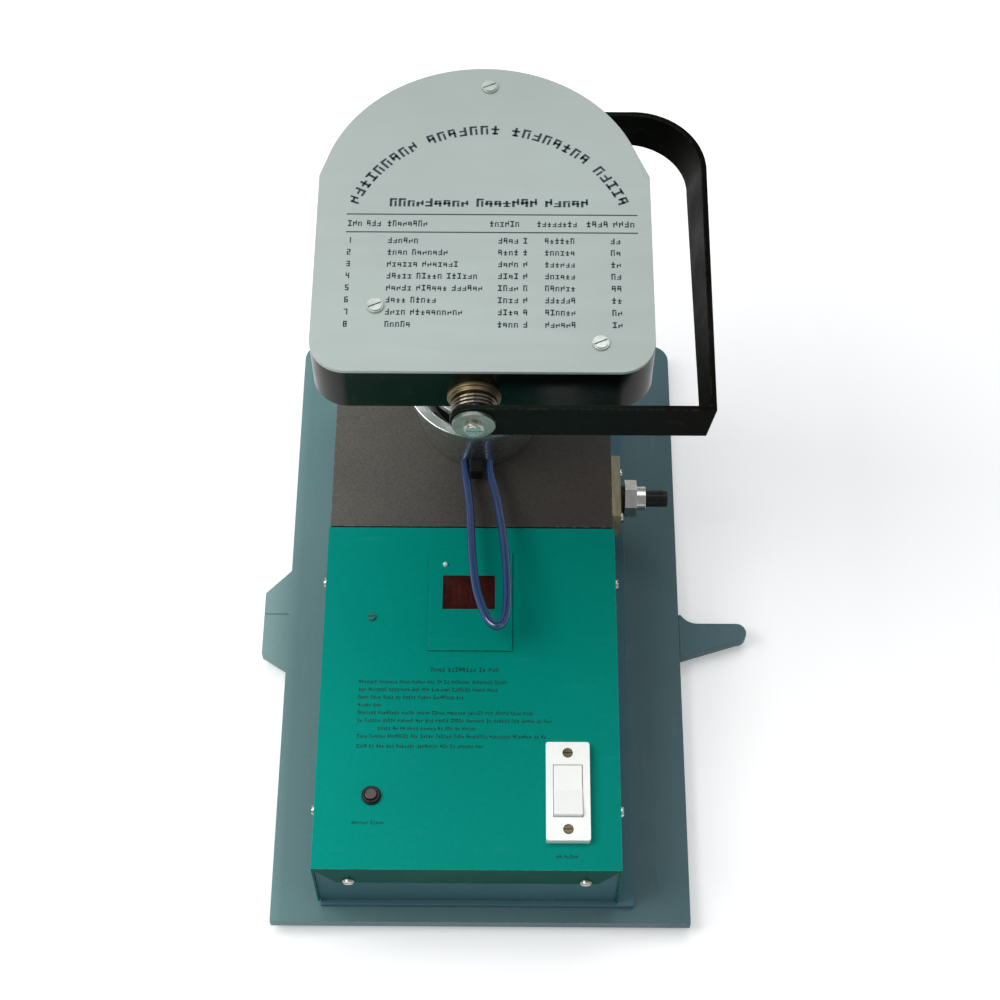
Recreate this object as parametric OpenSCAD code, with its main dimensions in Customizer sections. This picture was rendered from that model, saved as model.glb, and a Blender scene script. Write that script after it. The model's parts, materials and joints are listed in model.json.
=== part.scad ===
// Bench press grain moisture meter: an electronics box and a lever press on one base plate.
// Everything is laid out from the middle of the base plate; placed() then moves it so that
// the origin is the middle of the whole footprint, on the surface that the feet stand on.

/* [Base] */
// Width of the base plate
base_w = 245; // [240:1:260]
// Depth of the base plate
base_d = 403; // [400:1:420]
// Thickness of the base plate
base_t = 8; // [6:1:10]
// Height of the rubber feet
foot_h = 6; // [5:1:10]
// How far the left lug reaches from the middle of the base
lug_reach = 138; // [134:1:142]
// How far the right grip reaches from the middle of the base
grip_reach = 164.7; // [160:0.1:170]

/* [Electronics box] */
// Width of the green cover
cover_w = 174.4; // [174:0.1:176]
// Left side of the cover, from the middle of the base
cover_left = -94.4; // [-95:0.1:-94]
// Front of the cover
cover_front = -190.6; // [-192:0.1:-188]
// Height of the cover's front flange
flange_h = 23; // [18:1:26]
// Sheet thickness of the cover and the tray
sheet = 1.2; // [1:0.1:1.5]

/* [Press] */
// Outer diameter of the test cup
cup_d = 90; // [88:1:92]
// Height of the test cup
cup_h = 50; // [49:0.5:51]
// Diameter of the ram
ram_d = 48; // [46:1:50]
// Diameter of the pressure pad
pad_d = 69; // [64:1:70]
// Radius of the head's round back
head_r = 87.4; // [87:0.1:88]

/* [Lever] */
// Reach of the lever from its shaft to the outside of its grip
lever_reach = 121.7; // [119:0.1:124]
// Width of the lever's strip
strip_w = 25; // [22:1:26]
// Thickness of the lever's strip
strip_t = 3; // [2.5:0.5:3]
// Outward lean of the grip at its rear end
grip_lean = 14; // [10:1:18]

/* [Hidden] */
$fn = 64;

origin_x = (grip_reach - lug_reach) / 2;
base_top = foot_h + base_t;
foot_r = 12;
foot_x = 105;
foot_y = 180;
foot_screw_r = 1.9;
foot_screw_bite = 5;
foot_seat = 3.4;
lug_root = [-40, 28];
lug_tip = [-30, 12];
grip_root_y = -31.4;
corner_r = 12;

plinth_left = -93;
plinth_right = 89.5;
plinth_front = cover_front - 1.8;
plinth_t = 4;
plinth_top = base_top + plinth_t;

deck = base_top + 60;
cover_right = cover_left + cover_w;
cover_back = 27;
tray_gap = 0.1;
tray_top = deck - 4;
tray_left = cover_left + sheet + tray_gap;
tray_right = cover_right - sheet - tray_gap;
tray_front = cover_front + sheet + tray_gap;
tray_back = cover_back - sheet - tray_gap;
flange_mitre = 12.6;
thread_r = 1.4;
clear_r = 1.75;
side_screw_y = [-152, -6];
side_screw_z = deck - 10;
front_screw_x = [cover_left + 20, cover_right - 20];
front_screw_z = deck - 18;
pillar = [-66, -34];

// Display: window, plate and boards
window_x = [-24, 7.4];
window_y = [-28.8, -6.2];
plate_x = [-32, 17.6];
plate_y = [-56, 10];
display_plate_t = 1.2;
lamp = [-22.7, 1];
lamp_r = 1.5;
display_board_top = deck - 10;
board_t = 1.6;
display_posts = [[-31, 3], [17, 3], [-31, -33], [17, -33]];
main_board_x = [-80, 0];
main_board_y = [-130, -50];
main_board_z = plinth_top + sheet + 10;
board_posts = [for (x = [-76, -4], y = [-126, -54]) [x, y]];

// Transformer
core = [45, 18, 38];
core_at = [27.5, -69, plinth_top + sheet];
core_limb = 7.5;

// Rocker switch and push button
switch_x = [37.3, 62.4];
switch_y = [-174.7, -115.4];
switch_t = 5;
switch_inset = [2.7, 12.1];
rocker_x = [41.65, 58.05];
rocker_half = 15.4;
rocker_mid = [-145.1, deck + 2.5];
rocker_gap = 0.5;
rocker_tilt = 5;
rocker_end = 3.8;
rocker_dip = 2.8;
rocker_pin_r = 1.2;
switch_mid_x = (switch_x[0] + switch_x[1]) / 2;
switch_screw_y = [-168, -122];
button = [-62, -147];
button_r = 3.5;
fit = 0.05;

// Press block and the parts on it
block_x = [-93.5, 79];
block_y = [28, 151.4];
block_wall = 8;
block_roof = 12;
press = [-3, 106];
contact_r = 4;
bush_r = 12;
gland = [55, 40];
gland_bore = 3.6;
terminal = [57, deck - 15];
terminal_plate_t = 5.5;
terminal_face = block_x[1] + terminal_plate_t;
terminal_nut_x = terminal_face + 2.9;
terminal_cap_x = terminal_nut_x + 13.1;
stud_r = 3;
terminal_screw_y = [terminal[0] - 15, terminal[0] + 16];
terminal_plate_h = 25;
terminal_screw_z = deck - 12;

// Column and head
column_x = [-39, 33];
column_t = 15;
column_back = block_y[1] + column_t;
head_bottom = base_top + 253;
head_top = head_bottom + 31;
head_plate_t = 2;
head_mid = [0.3, 106.2];
head_side = [-87.4, 89.8];
shoulder_y = 118.5;
head_front = -6.6;
head_corner = 19;
head_wall = 3;
head_floor = 4;
head_clip = 166;
rim_h = 4;
rim_w = 8;
chart_screws = [[3.5, 180], [-54.4, 33.2], [61.7, 10.9]];
frame_bolt_x = [-28, 22];
frame_bolt_z = [30, 52];
head_bolt_y = 157;

// Shaft, rack and ram
shaft_z = head_bottom + 11;
shaft_r = 6;
shaft_end_r = 5;
bush_outer = 9;
boss_r = 11;
boss_len = 9.6;
tooth_module = 1.5;
teeth = 20;
pitch_r = tooth_module * teeth / 2;
rack_line = press[0] + pitch_r;
rack_pitch = PI * tooth_module;
rack_w = 12;
pinion_w = 10;
ram_r = ram_d / 2;
ram_top = shaft_z - pitch_r - 3;
cup_gap = 0.2;
cup_bottom = deck + cup_gap;
cup_r = cup_d / 2;
cup_foot_r = 35.5;
cup_top = cup_bottom + cup_h - cup_gap;
cup_rim_h = 4;
cup_taper = (cup_r - 1 - cup_foot_r) / (cup_top - cup_rim_h - cup_bottom);
chamber_r = 37.3;
chamber_floor = cup_bottom + 31.8;
socket_r = 29;
socket_floor = cup_bottom + 13.8;
spigot_r = 14;
electrode_r = 26;
electrode_t = 5;
stem_r = 5;
pad_bottom = cup_top + 2;
pad_t = 6;
guide_r = ram_r + 8;
guide_z = [head_bottom - 58, head_bottom];
guide_flange_r = 45;
guide_bolt_circle = 38;
guide_bolt_r = 2.5;
ring_z = [guide_z[0] + 5, guide_z[0] + 23];
ring_r = guide_r + 8;

// Lever
lever_front = -23;
lever_back = 171.5;
hub_gap = 0.2;
bend_r = 38;
front_lean = grip_lean - 6;
lever_x = press[0] + lever_reach;
screw_bore = 2.5;
washer_r = 11.2;
washer_t = 2.5;
hub_screw_len = 16;

// Cup handle
handle_r = 2.75;
handle_wire_r = 1.5;
handle_half = 8;
handle_len = 116.5;
handle_z = deck + 8.5;
handle_wall_r = cup_foot_r + cup_taper * (handle_z - cup_bottom);
handle_root = [press[0] - 3.3, press[1] - handle_wall_r + 2, handle_z];
handle_rise = 7.6;
handle_turn = 9;

// Moves a shape from the middle of the base plate to the origin.
module placed() {
    translate([-origin_x, 0, 0]) children();
}

// A box between two corners.
module block(low, high) {
    translate(low) cube(high - low);
}

// A cylinder along Y from y0 to y1, about the line through x and z.
module along_y(x, z, r, y0, y1) {
    translate([x, y1, z]) rotate([90, 0, 0]) cylinder(r = r, h = y1 - y0);
}

// A cylinder along X from x0 to x1, about the line through y and z.
module along_x(y, z, r, x0, x1) {
    translate([x0, y, z]) rotate([0, 90, 0]) cylinder(r = r, h = x1 - x0);
}

// A cylinder along Z from z0 to z1.
module along_z(at, r, z0, z1) {
    translate([at[0], at[1], z0]) cylinder(r = r, h = z1 - z0);
}

// A rectangle between two corners, with round corners.
module round_rect(low, high, r) {
    translate([low[0] + r, low[1]]) square([high[0] - low[0] - 2 * r, high[1] - low[1]]);
    translate([low[0], low[1] + r]) square([high[0] - low[0], high[1] - low[1] - 2 * r]);
    for (x = [low[0] + r, high[0] - r], y = [low[1] + r, high[1] - r]) translate([x, y]) circle(r);
}

// A slotted pan head screw that points down -Z, with its seat at z = 0.
module pan_screw(head_radius, head_h, shank_r, shank_len) {
    difference() {
        union() {
            cylinder(r = head_radius, h = head_h * 0.6);
            cylinder(r = head_radius * 0.85, h = head_h);
        }
        translate([-head_radius, -0.4, head_h * 0.55]) cube([2 * head_radius, 0.8, head_h]);
    }
    translate([0, 0, -shank_len]) cylinder(r = shank_r, h = shank_len);
}

// ---- Base ----

module base_outline() {
    half_w = base_w / 2;
    half_d = base_d / 2;
    translate([-half_w, -half_d]) square([base_w, base_d - corner_r]);
    translate([-half_w + corner_r, -half_d]) square([base_w - 2 * corner_r, base_d]);
    for (x = [-1, 1]) translate([x * (half_w - corner_r), half_d - corner_r]) circle(corner_r);
    polygon([
        [-half_w + 1, lug_root[0]], [-half_w, lug_root[0]], [-lug_reach, lug_tip[0]],
        [-lug_reach, lug_tip[1]], [-half_w, lug_root[1]], [-half_w + 1, lug_root[1]]
    ]);
}

module base_plate() {
    color([0.40, 0.55, 0.57]) placed() difference() {
        translate([0, 0, foot_h]) linear_extrude(base_t) base_outline();
        for (x = [-foot_x, foot_x], y = [-foot_y, foot_y])
            along_z([x, y], foot_screw_r, foot_h - 1, foot_h + foot_screw_bite);
        // scribed line across the lug
        block([-lug_reach - 1, -3.6, base_top - 0.8], [-base_w / 2, -2.4, base_top + 1]);
    }
}

// The carrying grip: a tapered tongue with a round tip and a fillet at its rear root.
module side_grip() {
    root = base_w / 2;
    tip_r = 6.2;
    tip_y = -13.5;
    fillet_r = 12;
    shoulder = tip_y + tip_r;
    color([0.36, 0.48, 0.50]) placed() translate([0, 0, foot_h]) linear_extrude(base_t) {
        polygon([
            [root, grip_root_y],
            [grip_reach - tip_r, tip_y - tip_r],
            [grip_reach - tip_r, shoulder],
            [root, shoulder]
        ]);
        translate([grip_reach - tip_r, tip_y]) circle(tip_r);
        difference() {
            translate([root, shoulder]) square([fillet_r, fillet_r / 2]);
            translate([root + fillet_r, shoulder + fillet_r]) circle(fillet_r);
        }
    }
}

module rubber_feet() {
    color([0.08, 0.08, 0.08]) placed() for (x = [-foot_x, foot_x], y = [-foot_y, foot_y]) difference() {
        along_z([x, y], foot_r, 0, foot_h);
        along_z([x, y], foot_screw_r + 2.6, -1, foot_seat);
        along_z([x, y], foot_screw_r + 0.1, -1, foot_h + 1);
    }
}

module foot_screws() {
    color([0.6, 0.6, 0.6]) placed() for (x = [-foot_x, foot_x], y = [-foot_y, foot_y])
        translate([x, y, foot_seat]) mirror([0, 0, 1])
            pan_screw(3.8, 2.2, foot_screw_r, foot_h + foot_screw_bite - foot_seat);
}

module plinth() {
    color([0.20, 0.24, 0.32]) placed()
        block([plinth_left, plinth_front, base_top], [plinth_right, column_back, plinth_top]);
}

// ---- Electronics box ----

module at_side_screws() {
    for (y = side_screw_y) {
        translate([cover_left, y, side_screw_z]) rotate([0, -90, 0]) children();
        translate([cover_right, y, side_screw_z]) rotate([0, 90, 0]) children();
    }
}

module at_front_screws() {
    for (x = front_screw_x) translate([x, cover_front, front_screw_z]) rotate([90, 0, 0]) children();
}

module chassis_tray() {
    color([0.25, 0.36, 0.38]) placed() {
        difference() {
            block([tray_left, tray_front, plinth_top], [tray_right, tray_back, tray_top]);
            block(
                [tray_left + sheet, tray_front + sheet, plinth_top + sheet],
                [tray_right - sheet, tray_back - sheet, tray_top + 1]
            );
            at_side_screws() translate([0, 0, -10]) cylinder(r = thread_r, h = 12);
            at_front_screws() translate([0, 0, -10]) cylinder(r = thread_r, h = 12);
        }
        difference() {
            along_z(pillar, 4, plinth_top + sheet / 2, deck - sheet);
            along_z(pillar, thread_r, plinth_top + 20, deck);
        }
    }
}

module cover_holes() {
    block([window_x[0], window_y[0], deck - 5], [window_x[1], window_y[1], deck + 5]);
    switch_hole = [switch_inset[0] - 0.1, switch_inset[1] - 0.1, 0];
    block(
        [switch_x[0], switch_y[0], deck - 5] + switch_hole,
        [switch_x[1], switch_y[1], deck + 5] - switch_hole
    );
    for (y = switch_screw_y) along_z([switch_mid_x, y], clear_r, deck - 5, deck + 5);
    for (p = display_posts) along_z(p, 1, deck - 5, deck - sheet + 0.6);
    along_z(lamp, lamp_r + 0.1, deck - 5, deck + 5);
    along_z(button, button_r + 1.1, deck - 5, deck + 5);
    along_z(pillar, clear_r, deck - 5, deck + 5);
}

module top_cover() {
    low = [cover_left, cover_front, plinth_top + 0.3];
    high = [cover_right, cover_back, deck];
    color([0.02, 0.50, 0.45]) placed() difference() {
        block(low, high);
        block(low + [sheet, sheet, -1], high - [sheet, sheet, sheet]);
        // below the mitred flange the front is open
        block(
            [cover_left + sheet, cover_front - 1, low[2] - 1],
            [cover_right - sheet, cover_front + sheet + 0.01, deck - flange_h]
        );
        for (side = [0, 1]) at_flange_end(side) rotate([90, 0, 0]) linear_extrude(sheet + 1) polygon([
            [sheet, -0.01], [sheet, flange_h - 3], [flange_mitre, -0.01]
        ]);
        cover_holes();
        at_side_screws() translate([0, 0, -10]) cylinder(r = clear_r, h = 12);
        at_front_screws() translate([0, 0, -10]) cylinder(r = clear_r, h = 12);
    }
}

// Places a shape at the flange's lower left corner, or mirrored at its lower right corner.
module at_flange_end(side) {
    x = side == 0 ? cover_left : cover_right;
    translate([x, cover_front + sheet + 0.01, deck - flange_h]) mirror([side, 0, 0]) children();
}

module cover_screws() {
    color([0.75, 0.75, 0.72]) placed() {
        at_side_screws() pan_screw(3.3, 2, thread_r, 6);
        at_front_screws() pan_screw(3.3, 2, thread_r, 6);
        translate([pillar[0], pillar[1], deck]) pan_screw(2.6, 1.4, thread_r, 8);
    }
}

module display_plate() {
    color([0.03, 0.52, 0.47]) placed() difference() {
        block([plate_x[0], plate_y[0], deck], [plate_x[1], plate_y[1], deck + display_plate_t]);
        cover_holes();
    }
}

module display_window() {
    color([0.35, 0.02, 0.03, 0.6]) placed()
        block([window_x[0], window_y[0], deck - 0.8], [window_x[1], window_y[1], deck + 0.9]);
}

module display_module() {
    color([0.08, 0.02, 0.02]) placed()
        block(
            [window_x[0] + 0.6, window_y[0] + 0.6, display_board_top],
            [window_x[1] - 0.6, window_y[1] - 0.6, deck - 1.5]
        );
}

module display_board() {
    color([0.05, 0.35, 0.15]) placed() difference() {
        block([-34, -36, display_board_top - board_t], [20, 6, display_board_top]);
        for (p = display_posts) along_z(p, 1, display_board_top - 3, display_board_top + 1);
    }
}

// Four posts hang the display board from the cover, and four carry the main board.
module board_standoffs() {
    color([0.8, 0.7, 0.4]) placed() {
        for (p = display_posts) {
            along_z(p, 2.5, display_board_top, deck - sheet);
            along_z(p, 1, display_board_top - board_t, deck - sheet + 0.5);
        }
        for (p = board_posts) {
            along_z(p, 2.5, plinth_top + sheet, main_board_z);
            along_z(p, 1, main_board_z - 1, main_board_z + board_t + 1);
        }
    }
}

module status_led() {
    color([0.9, 0.92, 0.88]) placed() {
        along_z(lamp, lamp_r, deck - 5, deck + display_plate_t + 0.6);
        translate([lamp[0], lamp[1], deck + display_plate_t + 0.6]) sphere(lamp_r);
        for (x = [-0.8, 0.8]) along_z(lamp + [x, 0], 0.3, display_board_top, deck - 4.5);
    }
}

module main_board() {
    color([0.05, 0.35, 0.15]) placed() difference() {
        block(
            [main_board_x[0], main_board_y[0], main_board_z],
            [main_board_x[1], main_board_y[1], main_board_z + board_t]
        );
        for (p = board_posts) along_z(p, 1, main_board_z - 1, main_board_z + board_t + 1);
    }
}

module board_parts() {
    z = main_board_z + board_t;
    color([0.1, 0.1, 0.1]) placed() {
        for (x = [-68, -44, -20]) translate([x, -92, z]) cube([7.6, 24, 4]);
        for (x = [-66, -52]) along_z([x, -114], 4, z, z + 12);
        translate([-34, -122, z]) cube([26, 8, 9]);
        translate([-50, -64, z]) cube([9.5, 9.5, 5]);
        along_z([-22, -62], 2.5, z, z + 5);
    }
}

module transformer_core() {
    color([0.35, 0.35, 0.36]) placed() translate(core_at) difference() {
        cube(core);
        for (x = [core_limb, core[0] - 2 * core_limb])
            translate([x, -1, core_limb]) cube([core_limb, core[1] + 2, core[2] - 2 * core_limb]);
    }
}

module transformer_coil() {
    wrap = 7.2;
    limb = [core[0] / 2 - core_limb, 0];
    low = [limb[0] - wrap, -10, core_limb + 0.3];
    high = [core[0] - limb[0] + wrap, core[1] + 10, core[2] - core_limb - 0.3];
    color([0.75, 0.6, 0.2]) placed() translate(core_at) difference() {
        block(low, high);
        block([limb[0], 0, 0], [core[0] - limb[0], core[1], core[2]]);
    }
}

module switch_plate() {
    color([0.95, 0.95, 0.92]) placed() difference() {
        translate([0, 0, deck]) linear_extrude(switch_t)
            round_rect([switch_x[0], switch_y[0]], [switch_x[1], switch_y[1]], 1.5);
        block(
            [rocker_x[0] - 0.3, rocker_mid[0] - rocker_half - rocker_gap, deck - 1],
            [rocker_x[1] + 0.3, rocker_mid[0] + rocker_half + rocker_gap, deck + switch_t + 1]
        );
        along_x(rocker_mid[0], rocker_mid[1], rocker_pin_r + fit, rocker_x[0] - 2, rocker_x[1] + 2);
        for (y = switch_screw_y) {
            along_z([switch_mid_x, y], clear_r, deck - 1, deck + switch_t + 1);
            along_z([switch_mid_x, y], 3, deck + switch_t - 1.8, deck + switch_t + 1);
        }
    }
}

module switch_body() {
    low = [switch_x[0] + switch_inset[0], switch_y[0] + switch_inset[1], deck - 22];
    high = [switch_x[1] - switch_inset[0], switch_y[1] - switch_inset[1], deck];
    color([0.9, 0.9, 0.88]) placed() difference() {
        block(low, high);
        block(low + [0.8, 0.8, 13], high - [0.8, 0.8, -1]);
    }
}

// Side profile of the rocker about its pin: a shallow V on top, a keel below.
module switch_rocker() {
    color([0.97, 0.97, 0.95]) placed() {
        translate([rocker_x[0], rocker_mid[0], rocker_mid[1]]) rotate([-rocker_tilt, 0, 0])
            rotate([90, 0, 90]) linear_extrude(rocker_x[1] - rocker_x[0]) polygon([
                [-rocker_half, -1], [-rocker_half, rocker_end], [0, rocker_dip],
                [rocker_half, rocker_end], [rocker_half, -1], [0, -5.5]
            ]);
        along_x(rocker_mid[0], rocker_mid[1], rocker_pin_r, rocker_x[0] - 1.6, rocker_x[0]);
        along_x(rocker_mid[0], rocker_mid[1], rocker_pin_r, rocker_x[1], rocker_x[1] + 1.6);
    }
}

module switch_screws() {
    color([0.7, 0.65, 0.5]) placed() for (y = switch_screw_y)
        translate([switch_mid_x, y, deck + switch_t - 1.8]) pan_screw(2.9, 1.6, thread_r, 10);
}

module button_body() {
    color([0.06, 0.06, 0.06]) placed() difference() {
        union() {
            along_z(button, 5.7, deck, deck + 1.2);
            along_z(button, 5, deck, deck + 2.4);
            along_z(button, button_r + 1.1, deck - 16, deck);
        }
        along_z(button, button_r + fit, deck - 14, deck + 5);
    }
}

module button_cap() {
    color([0.35, 0.08, 0.07]) placed() along_z(button, button_r, deck - 11.5, deck + 3.6);
}

// ---- Press block and terminal ----

module press_block() {
    low = [block_x[0], block_y[0], plinth_top];
    high = [block_x[1], block_y[1], deck];
    color([0.34, 0.34, 0.32]) placed() difference() {
        block(low, high);
        block(low + [block_wall, block_wall, -1], high - [block_wall, block_wall, block_roof]);
        along_z(press, bush_r, deck - block_roof - 1, deck + 1);
        along_x(terminal[0], terminal[1], 5, high[0] - block_wall - 6, high[0] + 1);
        along_y(gland[0], gland[1], 6, high[1] - block_wall - 1, high[1] + 1);
        for (x = frame_bolt_x, z = frame_bolt_z) along_y(x, z, 3, high[1] - block_wall - 1, high[1] + 1);
    }
}

// Cable gland in the block's rear wall: a nut inside, a spigot, a flange and a dome.
module cord_gland() {
    inside = block_y[1] - block_wall;
    face = block_y[1];
    color([0.07, 0.07, 0.07]) placed() difference() {
        union() {
            along_y(gland[0], gland[1], 9, inside - 4, inside);
            along_y(gland[0], gland[1], 6, inside, face);
            along_y(gland[0], gland[1], 9, face, face + 4);
            along_y(gland[0], gland[1], 7, face + 4, face + 14);
        }
        along_y(gland[0], gland[1], gland_bore, inside - 5, face + 15);
    }
}

module contact_insulator() {
    color([0.12, 0.12, 0.12]) placed() difference() {
        union() {
            along_z(press, bush_r + 4, deck - block_roof - 3, deck - block_roof);
            along_z(press, bush_r, deck - block_roof, deck - 0.1);
        }
        along_z(press, contact_r, deck - block_roof - 4, deck + 1);
    }
}

module contact_pin() {
    color([0.75, 0.6, 0.3]) placed() {
        along_z(press, contact_r, deck - block_roof - 8, deck - 0.1);
        along_z(press, contact_r + 2, deck - block_roof - 8, deck - block_roof - 3);
    }
}

module terminal_plate() {
    x = block_x[1];
    color([0.48, 0.46, 0.38]) placed() difference() {
        union() {
            block([x, terminal[0] - 21, deck - terminal_plate_h], [terminal_face, terminal[0] + 22, deck]);
            along_x(terminal[0], terminal[1], 5, x - block_wall, x);
        }
        along_x(terminal[0], terminal[1], stud_r, x - block_wall - 1, terminal_face + 1);
        for (y = terminal_screw_y) along_x(y, terminal_screw_z, thread_r, x - 1, terminal_face + 1);
    }
}

module terminal_screws() {
    color([0.8, 0.8, 0.78]) placed() for (y = terminal_screw_y)
        translate([terminal_face, y, terminal_screw_z]) rotate([0, 90, 0])
            pan_screw(3, 1.8, thread_r, terminal_plate_t - 0.5);
}

// Black washer with the tag that the lead is soldered to.
module terminal_washer() {
    color([0.06, 0.06, 0.06]) placed() difference() {
        union() {
            along_x(terminal[0], terminal[1], 8, terminal_face, terminal_nut_x);
            block(
                [terminal_face, terminal[0] - 9, terminal[1] - 15],
                [terminal_nut_x, terminal[0] - 2, terminal[1]]
            );
        }
        along_x(terminal[0], terminal[1], stud_r, terminal_face - 1, terminal_nut_x + 1);
    }
}

module terminal_nut() {
    across = 20;
    color([0.85, 0.86, 0.88]) placed() difference() {
        union() {
            translate([terminal_nut_x, terminal[0], terminal[1]]) rotate([0, 90, 0])
                cylinder(r = across / sqrt(3), h = 7.5, $fn = 6);
            along_x(terminal[0], terminal[1], 7.6, terminal_nut_x + 7.5, terminal_cap_x);
        }
        along_x(terminal[0], terminal[1], stud_r, terminal_nut_x - 1, terminal_cap_x + 1);
    }
}

module terminal_stud() {
    color([0.75, 0.65, 0.35]) placed()
        along_x(terminal[0], terminal[1], stud_r, block_x[1] - block_wall - 8, terminal_cap_x + 9);
}

module terminal_cap() {
    ribs = 16;
    color([0.05, 0.05, 0.05]) placed() difference() {
        along_x(terminal[0], terminal[1], 5.2, terminal_cap_x + 0.3, terminal_cap_x + 13.7);
        along_x(terminal[0], terminal[1], stud_r + fit, terminal_cap_x - 1, terminal_cap_x + 9.6);
        translate([terminal_cap_x + 3, terminal[0], terminal[1]]) rotate([0, 90, 0]) for (i = [0:ribs - 1])
            rotate([0, 0, 360 * i / ribs]) translate([5.2, 0, 0]) cylinder(r = 0.4, h = 8);
    }
}

// ---- Column and head ----

module column() {
    color([0.22, 0.24, 0.24]) placed() difference() {
        block([column_x[0], block_y[1], plinth_top], [column_x[1], column_back, head_bottom]);
        for (x = frame_bolt_x) {
            for (z = frame_bolt_z) along_y(x, z, 3, block_y[1] - 1, column_back + 1);
            along_z([x, head_bolt_y], 3, head_bottom - 20, head_bottom + 1);
        }
    }
}

// A socket head bolt that points down -Z, with its seat at z = 0.
module cap_bolt(r, shank_len) {
    difference() {
        cylinder(r = r * 1.6, h = r * 1.9);
        translate([0, 0, r * 0.9]) cylinder(r = r * 0.9, h = r * 2, $fn = 6);
    }
    translate([0, 0, -shank_len]) cylinder(r = r, h = shank_len);
}

module frame_bolts() {
    color([0.12, 0.12, 0.12]) placed() for (x = frame_bolt_x) {
        for (z = frame_bolt_z) translate([x, column_back, z]) rotate([-90, 0, 0]) cap_bolt(3, column_t + 7);
        translate([x, head_bolt_y, head_bottom + head_floor]) cap_bolt(3, 20);
    }
}

// The head seen from above: straight front with round corners, and a round back that runs
// straight from its flanks to a shoulder on each side.
module head_outline(inset) {
    r = head_r - inset;
    corner = head_corner - inset;
    front = head_front + inset;
    left = head_side[0] + inset;
    right = head_side[1] - inset;
    translate(head_mid) circle(r, $fn = 128);
    for (side = [left, right]) translate(head_mid) flank([side, shoulder_y] - head_mid, r);
    translate([left, front + corner]) square([right - left, shoulder_y - front - corner]);
    translate([left + corner, front]) square([right - left - 2 * corner, corner]);
    for (x = [left + corner, right - corner])
        translate([x, front + corner]) circle(corner);
}

// A wedge from the middle of a circle to a shoulder outside it; its upper side grazes the circle.
module flank(shoulder, r) {
    side = sign(shoulder[0]);
    turn = atan2(shoulder[1], side * shoulder[0]) + acos(r / norm(shoulder));
    graze = r - 0.05;
    polygon([[0, 0], [side * graze * cos(turn), graze * sin(turn)], shoulder]);
}

module clipped_outline(inset) {
    intersection() {
        head_outline(inset);
        translate([head_side[0], head_front])
            square([head_side[1] - head_side[0], head_clip - inset - head_front]);
    }
}

module head_housing() {
    rim_bottom = head_top - rim_h;
    floor_top = head_bottom + head_floor;
    color([0.10, 0.14, 0.13]) placed() difference() {
        union() {
            difference() {
                translate([0, 0, head_bottom]) linear_extrude(head_top - head_bottom) clipped_outline(0);
                translate([0, 0, floor_top]) linear_extrude(head_top - head_bottom)
                    clipped_outline(head_wall);
            }
            // rim under the part of the plate that overhangs the lever's rear arm
            translate([0, 0, rim_bottom]) linear_extrude(rim_h) difference() {
                head_outline(0);
                head_outline(rim_w);
                translate([-2 * head_r, -head_r]) square([4 * head_r, head_clip + head_r - 4]);
            }
            // tab under the rear chart screw
            block(
                [chart_screws[0][0] - 8, head_clip - 2, rim_bottom],
                [chart_screws[0][0] + 8, head_mid[1] + head_r - 4, head_top]
            );
            for (i = [1, 2]) along_z(chart_screws[i], 5, head_bottom + 1, head_top);
            along_y(press[0], shaft_z, boss_r, head_front, head_front + boss_len);
            along_y(press[0], shaft_z, boss_r, head_clip - boss_len, head_clip);
        }
        along_y(press[0], shaft_z, bush_outer, head_front - 1, head_front + boss_len + 1);
        along_y(press[0], shaft_z, bush_outer, head_clip - boss_len - 1, head_clip + 1);
        along_z(press, ram_r + 1, head_bottom - 1, floor_top + 1);
        for (p = chart_screws) along_z(p, thread_r, head_top - 12, head_top + 1);
        at_guide_bolts() cylinder(r = guide_bolt_r, h = 2 * (head_floor + 1), center = true);
        for (x = frame_bolt_x) along_z([x, head_bolt_y], 3, head_bottom - 1, floor_top + 1);
    }
}

module rotate_about_press(a) {
    translate([press[0], press[1], 0]) rotate([0, 0, a]) children();
}

// The four bolts that hold the ram guide to the head's floor.
module at_guide_bolts() {
    for (a = [45:90:315]) rotate_about_press(a)
        translate([guide_bolt_circle, 0, head_bottom]) children();
}

module head_plate() {
    color([0.68, 0.71, 0.70]) placed() difference() {
        translate([0, 0, head_top]) linear_extrude(head_plate_t) head_outline(0);
        for (p = chart_screws) along_z(p, thread_r, head_top - 1, head_top + head_plate_t + 1);
    }
}

module plate_screws() {
    color([0.85, 0.85, 0.83]) placed() for (p = chart_screws)
        translate([p[0], p[1], head_top + head_plate_t]) rotate([0, 0, 25])
            pan_screw(4.35, 2, thread_r, 3.9 + head_plate_t);
}

module front_bush() {
    color([0.62, 0.50, 0.36]) placed() difference() {
        union() {
            along_y(press[0], shaft_z, bush_outer, head_front, head_front + boss_len);
            along_y(press[0], shaft_z, 14, head_front - 2.4, head_front);
            along_y(press[0], shaft_z, 12.6, head_front - 4.4, head_front - 2.4);
        }
        along_y(press[0], shaft_z, shaft_r + fit, head_front - 5, head_front + boss_len + 1);
    }
}

module rear_bush() {
    color([0.62, 0.50, 0.36]) placed() difference() {
        union() {
            along_y(press[0], shaft_z, bush_outer, head_clip - boss_len, head_clip);
            along_y(press[0], shaft_z, 10.6, head_clip, head_clip + 2);
        }
        along_y(press[0], shaft_z, shaft_r + fit, head_clip - boss_len - 1, head_clip + 3);
    }
}

module ram_guide() {
    color([0.55, 0.56, 0.57]) placed() difference() {
        union() {
            along_z(press, guide_flange_r, guide_z[1] - 5, guide_z[1]);
            along_z(press, guide_r, guide_z[0], guide_z[1]);
            along_z(press, guide_r + 2.5, guide_z[0], ring_z[0] - 0.3);
        }
        along_z(press, ram_r + fit, guide_z[0] - 1, guide_z[1] + 1);
        at_guide_bolts() cylinder(r = guide_bolt_r, h = 12, center = true);
    }
}

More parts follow.
